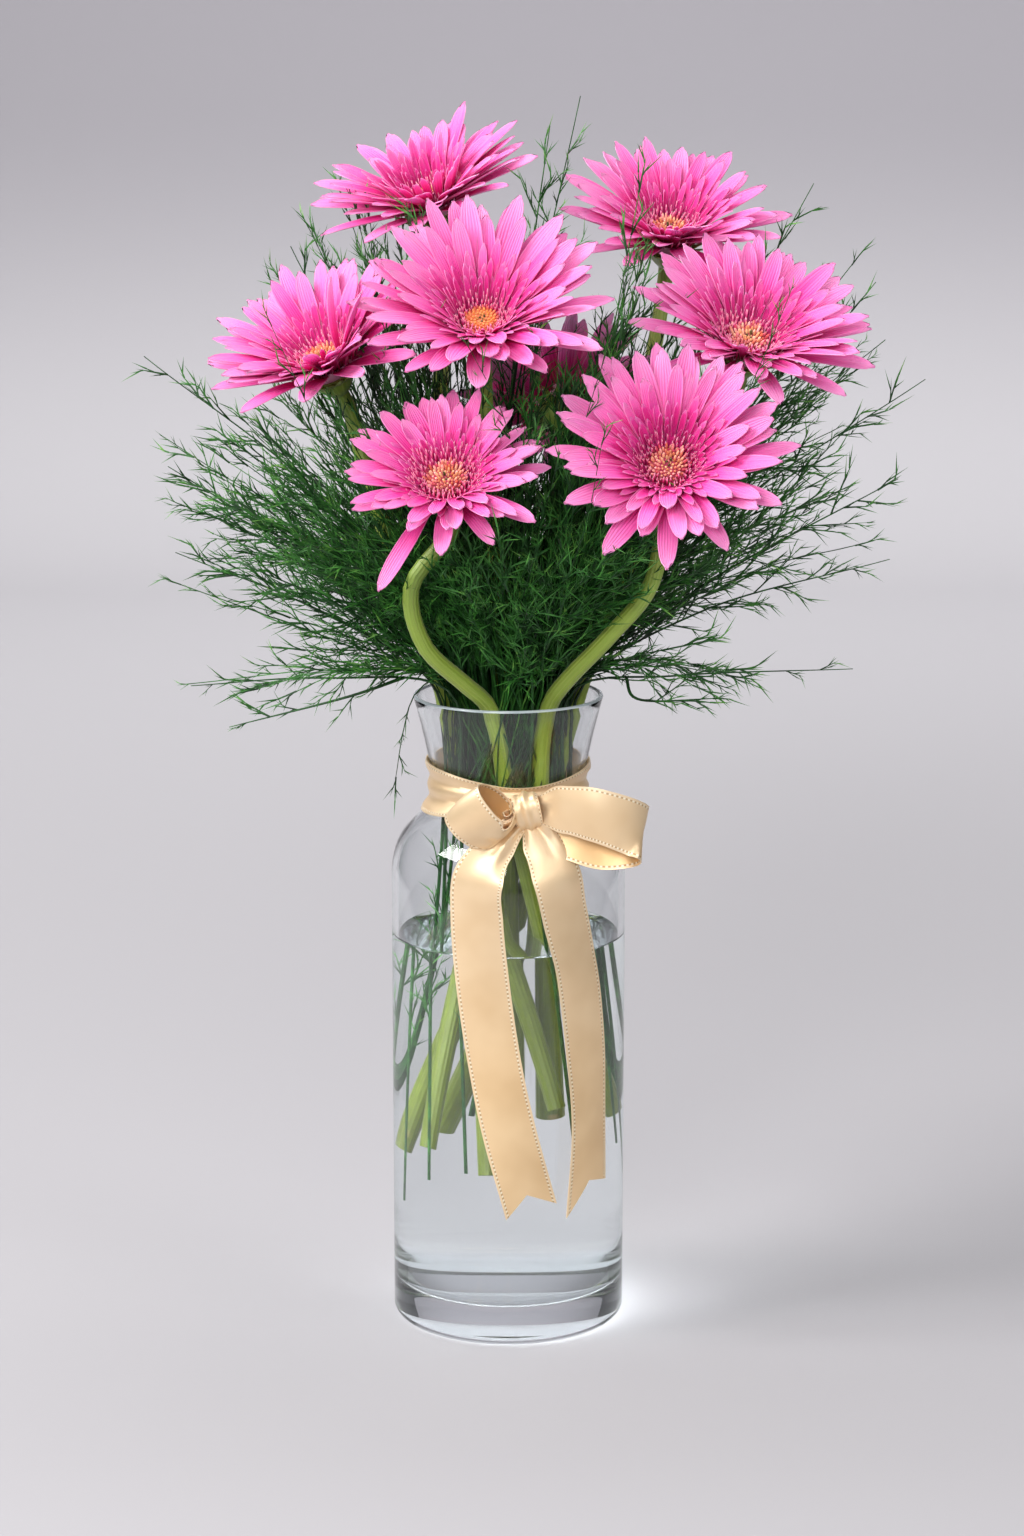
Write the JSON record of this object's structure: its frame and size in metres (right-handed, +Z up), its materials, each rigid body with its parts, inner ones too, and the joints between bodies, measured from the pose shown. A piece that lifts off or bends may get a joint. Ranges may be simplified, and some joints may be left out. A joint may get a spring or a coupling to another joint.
{
  "type": "gerberas in a vase",
  "caption": "Pink gerbera daisies and fine asparagus fern standing in water in a clear glass bottle vase, with a satin ribbon bow tied round its neck.",
  "frame": {"origin": "centre of the vase's flat foot, on the surface that it stands on", "axes": "+Z up along the vase's axis, -Y towards the front, where the bow is, +X to the right as seen from the front"},
  "size_m": [0.3608, 0.2615, 0.5751],
  "materials": {
    "glass": "polished",
    "water": "polished",
    "petal": "satin",
    "disc": "matte",
    "stem": "satin",
    "fern": "matte",
    "satin": "satin"
  },
  "bodies": {
    "root": {"vase": "glass", "water": "water", "satin_ribbon": "satin", "bloom_1": "petal", "disc_1": "disc", "stem_1": "stem", "bloom_2": "petal", "disc_2": "disc", "stem_2": "stem", "bloom_3": "petal", "disc_3": "disc", "stem_3": "stem", "bloom_4": "petal", "disc_4": "disc", "stem_4": "stem", "bloom_5": "petal", "disc_5": "disc", "stem_5": "stem", "bloom_6": "petal", "disc_6": "disc", "stem_6": "stem", "bloom_7": "petal", "disc_7": "disc", "stem_7": "stem", "bloom_8": "petal", "disc_8": "disc", "stem_8": "stem", "fern_left_high": "fern", "fern_left_mid": "fern", "fern_left_low": "fern", "fern_back_left": "fern", "fern_top": "fern", "fern_back_right": "fern", "fern_right_top": "fern", "fern_right_high": "fern", "fern_right_mid": "fern", "fern_right_low": "fern", "fern_front": "fern"}
  },
  "joints": []
}
